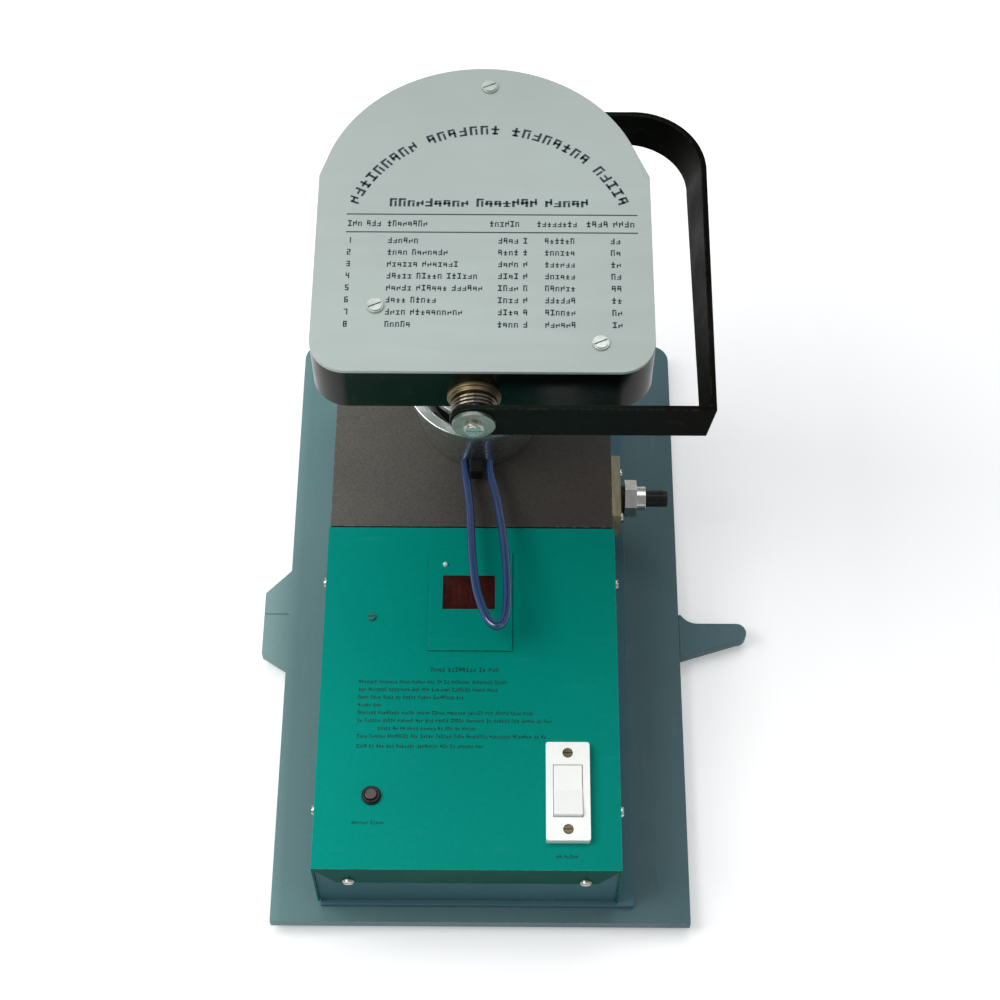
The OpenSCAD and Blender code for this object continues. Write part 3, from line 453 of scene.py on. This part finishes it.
def tape():
    """Yellow coil tape: overlapping bands round the winding."""
    p = Paint("coil_tape")
    wave = p.add("ShaderNodeTexWave", bands_direction="Z")
    p.link(p.place, wave, "Vector")
    p.link(95, wave, "Scale")
    p.link(0.6, wave, "Distortion")
    bands = wave.outputs["Fac"]
    p.link(p.mix(bands, (0.72, 0.50, 0.12), (0.50, 0.33, 0.07)), p.shader, "Base Color")
    p.link(p.steps(bands, 0, 1, 0.3, 0.45), p.shader, "Roughness")
    p.bump(bands, 0.4, 0.1 * MM)
    return p.material


def make_materials():
    """Every material by name: one for each of the record's slots, then four for single nodes."""
    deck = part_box("top_cover")[1].z / MM
    # The stops run lighter at the left and darker at the right: painted light from the left and painted shade
    # at the right. The head's greenish black at the left is a painted reflection of the green cover.
    base_stops = (
        (-136, linear(138, 169, 169)), (-116, linear(100, 134, 136)),
        (60, linear(88, 118, 122)), (125, linear(77, 105, 110)),
    )
    tray_stops = ((0, linear(62, 100, 108)),)
    plinth_stops = ((0, linear(74, 112, 124)),)
    head_stops = ((-60, linear(20, 28, 20)), (60, linear(8, 7, 5)))
    lever_stops = ((60, linear(17, 24, 20)), (115, linear(8, 6, 4)))
    plating = linear(222, 223, 220)
    tarnished = linear(190, 184, 168)
    # Grain whose fine lines run level, as on turned and spun pieces
    turned = (0.04, 0.04, 1)
    spun = (0.05, 0.05, 1)
    return {
        "base_enamel": enamel("base_enamel", base_stops, linear(140, 162, 162), drift=0.04, sides=0.85),
        "chassis_enamel": enamel("chassis_enamel", tray_stops, linear(110, 128, 130), wear=0.3, gloss=0.05),
        "plinth_paint": enamel("plinth_paint", plinth_stops, linear(104, 118, 124), rough=0.52, drift=0.06),
        "green_paint": green_cover(),
        "hammertone": hammertone(),
        "head_paint": enamel(
            "head_paint", head_stops, linear(98, 92, 80),
            rough=0.20, drift=0.10, wear=0.5, coat=0.02, gloss=0.12),
        "chart_aluminium": plate_finish(),
        "black_strip": enamel(
            "black_strip", lever_stops, linear(84, 76, 66), rough=0.42, drift=0.12, wear=0.6, gloss=0.02),
        "cup_chrome": metal("cup_chrome", linear(206, 214, 208), 0.20, spun, 0.10, 0.03),
        "bright_steel": metal("bright_steel", plating, 0.16, tarnish=tarnished),
        "machined_steel": metal("machined_steel", linear(176, 178, 180), 0.26, turned, 0.10, 0.03),
        "black_oxide": metal("black_oxide", linear(70, 70, 72), 0.36),
        "bush_brass": metal(
            "bush_brass", linear(150, 134, 104), 0.30, (1, 0.1, 1), 0.14, 0.03, linear(112, 96, 72)),
        "spring_steel": metal(
            "spring_steel", linear(140, 134, 122), 0.26, (1, 0.2, 1), tarnish=linear(96, 86, 70)),
        "tan_board": laminate(),
        "black_plastic": moulded("black_plastic", linear(24, 24, 24), 0.36, mottle=0.12, gloss=0.25),
        "white_plastic": moulded("white_plastic", linear(252, 253, 249), 0.30, 0.2, 0.012),
        "red_window": tinted_window(),
        "display_black": moulded("display_black", linear(40, 22, 20), 0.5, gloss=0.2),
        "lamp_white": moulded("lamp_white", linear(214, 240, 226), 0.18, 0.6, 0.02),
        "button_red": moulded("button_red", linear(44, 14, 14), 0.3, 0.3),
        "board_green": moulded("board_green", linear(20, 92, 50), 0.3, 0.5, 0.1, 500),
        "coil_tape": tape(),
        "blue_vinyl": moulded("blue_vinyl", linear(22, 58, 112), 0.16, 1.0, 0.08, 900, 0.6),
        "black_rubber": moulded("black_rubber", linear(28, 28, 28), 0.75, mottle=0.15, fine=700),
        "plate_screw": metal(
            "plate_screw", linear(196, 202, 198), 0.36, marks=0.14, tarnish=linear(168, 172, 166)),
        "hub_washer": metal(
            "hub_washer", linear(150, 160, 152), 0.34, depth=0.03, tarnish=linear(112, 118, 108)),
        "switch_screw": metal(
            "switch_screw", linear(128, 116, 96), 0.34, marks=0.14, tarnish=linear(88, 76, 60)),
        "cover_screw": metal("cover_screw", plating, 0.18, tarnish=tarnished, painted_above=deck - 1),
    }


# ---- Mesh helpers ----

def add_piece(name, mesh, material, body="frame", smooth=False):
    obj = bpy.data.objects.new(name, mesh)
    bpy.context.collection.objects.link(obj)
    mesh.materials.append(material)
    for face in mesh.polygons:
        face.use_smooth = smooth
    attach(obj, body)
    return obj


def slab(work, centre, size, turn=0.0):
    """A thin block lying flat: centre and size in metres, turned about Z."""
    place = Matrix.Translation(centre) @ Matrix.Rotation(turn, 4, "Z") @ Matrix.Diagonal((*size, 1))
    bmesh.ops.create_cube(work, size=1.0, matrix=place)


def finish_mesh(name, work):
    mesh = bpy.data.meshes.new(name)
    work.to_mesh(mesh)
    work.free()
    return mesh


def tube(name, points, radius, sides=20):
    """A closed-ended round tube of one radius through a list of points."""
    work = bmesh.new()
    rings = []
    side = Vector((1, 0, 0))
    for i, p in enumerate(points):
        ahead = (points[min(i + 1, len(points) - 1)] - points[max(i - 1, 0)]).normalized()
        side = (side - ahead * ahead.dot(side)).normalized()
        up = ahead.cross(side)
        rings.append([work.verts.new(p + radius * (side * math.cos(a) + up * math.sin(a)))
                      for a in (2 * math.pi * k / sides for k in range(sides))])
    for first, second in zip(rings, rings[1:]):
        for k in range(sides):
            work.faces.new((first[k], first[(k + 1) % sides], second[(k + 1) % sides], second[k]))
    work.faces.new(rings[0][::-1])
    work.faces.new(rings[-1])
    bmesh.ops.recalc_face_normals(work, faces=work.faces)
    return finish_mesh(name, work)


# ---- Printing: plain marks in place of letters ----

INK_T = 0.05 * MM

# Bars of each mark as (middle x, middle y, width, height), in a cell one unit wide and high.
MARKS = (
    ((-0.32, 0, 0.30, 1.0), (0.10, 0.40, 0.72, 0.20), (0.32, -0.15, 0.26, 0.70)),
    ((0.32, 0, 0.30, 1.0), (-0.10, -0.40, 0.72, 0.20), (-0.10, 0.05, 0.60, 0.18)),
    ((-0.32, -0.12, 0.30, 0.76), (0.05, 0.08, 0.74, 0.20), (0.34, 0.12, 0.24, 0.76)),
    ((0, 0, 0.30, 1.0), (0, 0.10, 0.94, 0.20), (0, -0.40, 0.70, 0.20)),
    ((-0.30, 0.12, 0.28, 0.76), (0.30, -0.12, 0.28, 0.76), (0, 0, 0.90, 0.22), (0.12, 0.40, 0.60, 0.18)),
    ((0, -0.40, 0.94, 0.20), (0, 0.40, 0.94, 0.20), (0.05, 0, 0.32, 0.90)),
)

# Lit bars of each figure: top, middle, bottom, upper left, upper right, lower left, lower right
FIGURES = {
    1: "0000101", 2: "1110110", 3: "1110101", 4: "0101101",
    5: "1111001", 6: "1111011", 7: "1000101", 8: "1111111",
}


def mark(work, x, y, z, width, height, turn=0.0, bold=1.0):
    """One mark about its middle, in millimetres, turned about Z."""
    cos, sin = math.cos(turn), math.sin(turn)
    for bx, by, bw, bh in random.choice(MARKS):
        u, v = bx * width, by * height
        centre = at(x + u * cos - v * sin, y + u * sin + v * cos, z)
        slab(work, centre + Vector((0, 0, LIFT)), (bw * width * bold * MM, bh * height * MM, INK_T), turn)


def words(work, start, y, z, lengths, pitch, height, bold=1.0):
    """A line of marks in words of these lengths. pitch is the step from mark to mark, in millimetres."""
    x = start
    for length in lengths:
        for i in range(length):
            tall = height if i == 0 else height * random.choice((0.74, 0.74, 0.80, 1.0))
            mark(work, x + pitch / 2, y + (tall - height) / 2, z, pitch * 0.80, tall, 0.0, bold)
            x += pitch
        x += pitch * 0.7


def line_of_words(work, start, end, y, z, pitch, height):
    """A line of marks in random words, from start to end."""
    places = int((end - start) / pitch)
    lengths = []
    while places > 2:
        length = min(random.randint(2, 8), places)
        lengths.append(length)
        places -= length + 1
    words(work, start, y, z, lengths, pitch, height)


def arc_words(work, centre, radius, half_angle, z, height, lengths):
    """Words along the plate's round back, with their feet towards the middle."""
    places = sum(lengths) + 0.9 * (len(lengths) - 1)
    step = math.radians(2 * half_angle) / places
    angle = math.radians(90 + half_angle)
    for length in lengths:
        for _ in range(length):
            a = angle - step / 2
            mark(work, centre[0] + radius * math.cos(a), centre[1] + radius * math.sin(a), z,
                 radius * step * 0.76, height, a - math.pi / 2)
            angle -= step
        angle -= 0.9 * step


def figure(work, number, x, y, z, width, height):
    """A plain bar numeral about its middle, in millimetres."""
    bar = height * 0.17
    side = width / 2 - bar / 2
    spots = (
        (0, height / 2 - bar / 2, width, bar), (0, 0, width, bar), (0, bar / 2 - height / 2, width, bar),
        (-side, height / 4, bar, height / 2), (side, height / 4, bar, height / 2),
        (-side, -height / 4, bar, height / 2), (side, -height / 4, bar, height / 2),
    )
    for lit, (u, v, w, h) in zip(FIGURES[number], spots):
        if lit == "1":
            slab(work, at(x + u, y + v, z) + Vector((0, 0, LIFT)), (w * MM, h * MM, INK_T))


def print_chart(paint):
    """The thickness chart on the head: an arc, a heading, two rules and eight numbered rows."""
    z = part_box("head_plate")[1].z / MM
    work = bmesh.new()
    arc_words(work, (3.5, 73), 77, 70, z, 6.0, (9, 7, 8, 5))
    words(work, -49.5, 100.5, z, (9, 7, 5), 4.75, 5.4, 1.2)
    for y in (92.6, 80.9):
        slab(work, at(5.5, y, z) + Vector((0, 0, LIFT)), (154 * MM, 0.7 * MM, INK_T))
    # The columns' headings, as (left end, letters in each word, pitch)
    headings = ((-71, (3, 3), 2.7), (-50, (8,), 2.7), (4, (6,), 2.7), (29, (8,), 2.7), (55, (4, 4), 3.0))
    for start, lengths, pitch in headings:
        words(work, start, 86.6, z, lengths, pitch, 3.9)
    first_row, row_step = 75.5, 7.6
    names = ((6,), (4, 7), (6, 7), (5, 5, 6), (5, 6, 6), (4, 5), (4, 10), (5,))
    for row, lengths in enumerate(names):
        y = first_row - row_step * row
        figure(work, row + 1, -69.5, y, z, 1.9, 3.6)
        words(work, -49.5, y, z, lengths, 2.75, 3.7)
        words(work, 8.5, y, z, (4, 1), 2.8, 3.7)
        words(work, 33.0, y, z, (6,), 2.7, 3.7)
        words(work, 67.5, y, z, (2,), 2.9, 3.7)
    add_piece("chart_print", finish_mesh("chart_print", work), paint)


def print_cover(paint):
    """The instructions and the small captions on the green cover."""
    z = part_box("top_cover")[1].z / MM
    work = bmesh.new()
    line_of_words(work, -30, 13, -68, z, 2.1, 3.0)
    first_line, line_step = -76, 4.9
    ends = (24, 14, -6, -52, 40, 50, 6, 46)
    indented = 6
    for row, end in enumerate(ends):
        start = -60 if row == indented else -72
        line_of_words(work, start, end, first_line - line_step * row, z, 1.55, 2.3)
    line_of_words(work, -72, 6, -116.5, z, 1.55, 2.3)
    line_of_words(work, -73, -51, -163, z, 1.6, 2.1)
    line_of_words(work, 43, 57, -182.5, z, 1.6, 2.1)
    add_piece("cover_print", finish_mesh("cover_print", work), paint)


# ---- Display ----

def make_digits(lit):
    """Four seven-segment figures under the red window, all segments dimly lit."""
    low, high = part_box("display_module")
    work = bmesh.new()
    count = 4
    pitch = (high.x - low.x) / count
    tall, wide, bar, thick = 13 * MM, 4.6 * MM, 0.9 * MM, 0.2 * MM
    dot_r = 0.6 * MM
    middle_y = (low.y + high.y) / 2
    z = high.z + 0.1 * MM
    for i in range(count):
        x = low.x + pitch * (i + 0.5)
        for y in (-tall / 2, 0, tall / 2):
            slab(work, Vector((x, middle_y + y, z)), (wide - bar, bar, thick))
        for side in (-wide / 2, wide / 2):
            for y in (-tall / 4, tall / 4):
                slab(work, Vector((x + side, middle_y + y, z)), (bar, tall / 2 - bar, thick))
        bmesh.ops.create_cone(
            work, cap_ends=True, segments=16, radius1=dot_r, radius2=dot_r, depth=thick,
            matrix=Matrix.Translation((x + wide / 2 + 2 * dot_r, middle_y - tall / 2, z)))
    add_piece("display_digits", finish_mesh("display_digits", work), lit)


# ---- Cup handle ----

def smooth_path(points, steps):
    """Points along a smooth Catmull-Rom curve through the given ones."""
    path = []
    for i in range(len(points) - 1):
        a, b = points[max(i - 1, 0)], points[i]
        c, d = points[i + 1], points[min(i + 2, len(points) - 1)]
        for k in range(steps):
            t = k / steps
            bend = (2 * a - 5 * b + 4 * c - d) * t ** 2
            twist = (3 * b - a - 3 * c + d) * t ** 3
            path.append(0.5 * (2 * b + (c - a) * t + bend + twist))
    return path + [points[-1]]


def make_handle(paint):
    """The blue sleeve on its wire: a narrow leaf-shaped loop, out on the left and back on the right."""
    root_y, root_z, climb = 71, 82.5, math.tan(math.radians(7.6))

    def strand(places):
        return [at(x, y, root_z + climb * (root_y - y)) for x, y in places]

    # Bent by hand, so the two strands bow by different amounts
    left = strand((
        (-12.4, 72.0), (-11.3, 60.0), (-8.2, 33.5), (-6.4, 0.0), (-3.4, -25.6), (1.6, -42.4), (4.8, -48.8)))
    tip = strand(((8.9, -51.4),))
    right = strand((
        (3.2, 72.0), (3.9, 60.0), (8.6, 38.0), (12.8, 5.5), (14.6, -22.0), (14.4, -39.0), (12.6, -48.0)))
    path = smooth_path(left + tip + right[::-1], 8)
    mesh = tube("handle_sleeve_skin", path, 2.6 * MM)
    sleeve = add_piece("handle_sleeve_skin", mesh, paint, "test_cup", smooth=True)
    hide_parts("handle_sleeve", "handle_wire")


# ---- CAD nodes: materials and soft edges ----

# How wide each node's sharp edges are rounded off, in millimetres
EDGE_MM = {
    "base_plate": 0.8, "side_grip": 1.6, "top_cover": 0.5, "display_plate": 0.4, "press_block": 1.0,
    "head_housing": 0.6, "head_plate": 0.4, "lever": 0.4, "cup_shell": 0.6, "switch_plate": 0.9,
    "switch_rocker": 0.6, "terminal_nut": 0.5, "terminal_cap": 0.4, "terminal_plate": 0.4, "column": 0.8,
    "ram_guide": 0.8, "thickness_ring": 0.3, "pressure_pad": 0.6, "front_bush": 0.4, "rear_bush": 0.4,
    "lever_washers": 0.35, "handle_bracket": 0.6, "plinth": 0.6, "button_body": 0.3, "button_cap": 0.5,
    "rubber_feet": 0.6, "hub_spacer": 0.3, "cord_gland": 0.6, "chassis_tray": 0.2, "plate_screws": 0.25,
    "cover_screws": 0.25, "lever_screws": 0.4, "frame_bolts": 0.3, "guide_bolts": 0.3,
    "terminal_screws": 0.2, "switch_screws": 0.15, "terminal_washer": 0.3,
}

# Nodes whose look differs from that of their slot's other nodes
OWN_PAINT = {
    "plate_screws": "plate_screw", "switch_screws": "switch_screw",
    "cover_screws": "cover_screw", "lever_washers": "hub_washer",
}


def dress_nodes(paints):
    """Gives every CAD node its material, and rounds off the edges that the eye would catch."""
    for part in frame["record"]["subparts"]:
        name = part["node"]
        node = frame["nodes"][name]
        node.data.materials.clear()
        node.data.materials.append(paints[OWN_PAINT.get(name, part["material_slot"])])
        if name in EDGE_MM:
            soften(node, EDGE_MM[name] * MM)


def soften(node, width):
    """Rounds a node's sharp edges with modifiers, after its flat faces are made whole."""
    weld = node.modifiers.new("weld", "WELD")
    weld.merge_threshold = 0.001 * MM
    merge = node.modifiers.new("flat_faces", "DECIMATE")
    merge.decimate_type = "DISSOLVE"
    merge.angle_limit = math.radians(0.3)
    bevel = node.modifiers.new("edges", "BEVEL")
    bevel.width = width
    bevel.segments = 2
    bevel.limit_method = "ANGLE"
    bevel.angle_limit = math.radians(40)
    normals = node.modifiers.new("normals", "WEIGHTED_NORMAL")
    normals.weight = 100
    normals.keep_sharp = True


make_camera()
make_stage()
paints = make_materials()
dress_nodes(paints)
print_chart(ink("chart_ink", linear(44, 58, 62)))
print_cover(ink("cover_ink", linear(6, 66, 62)))
make_digits(glow("digit_red", (0.30, 0.012, 0.008), 0.12))
make_handle(paints["blue_vinyl"])
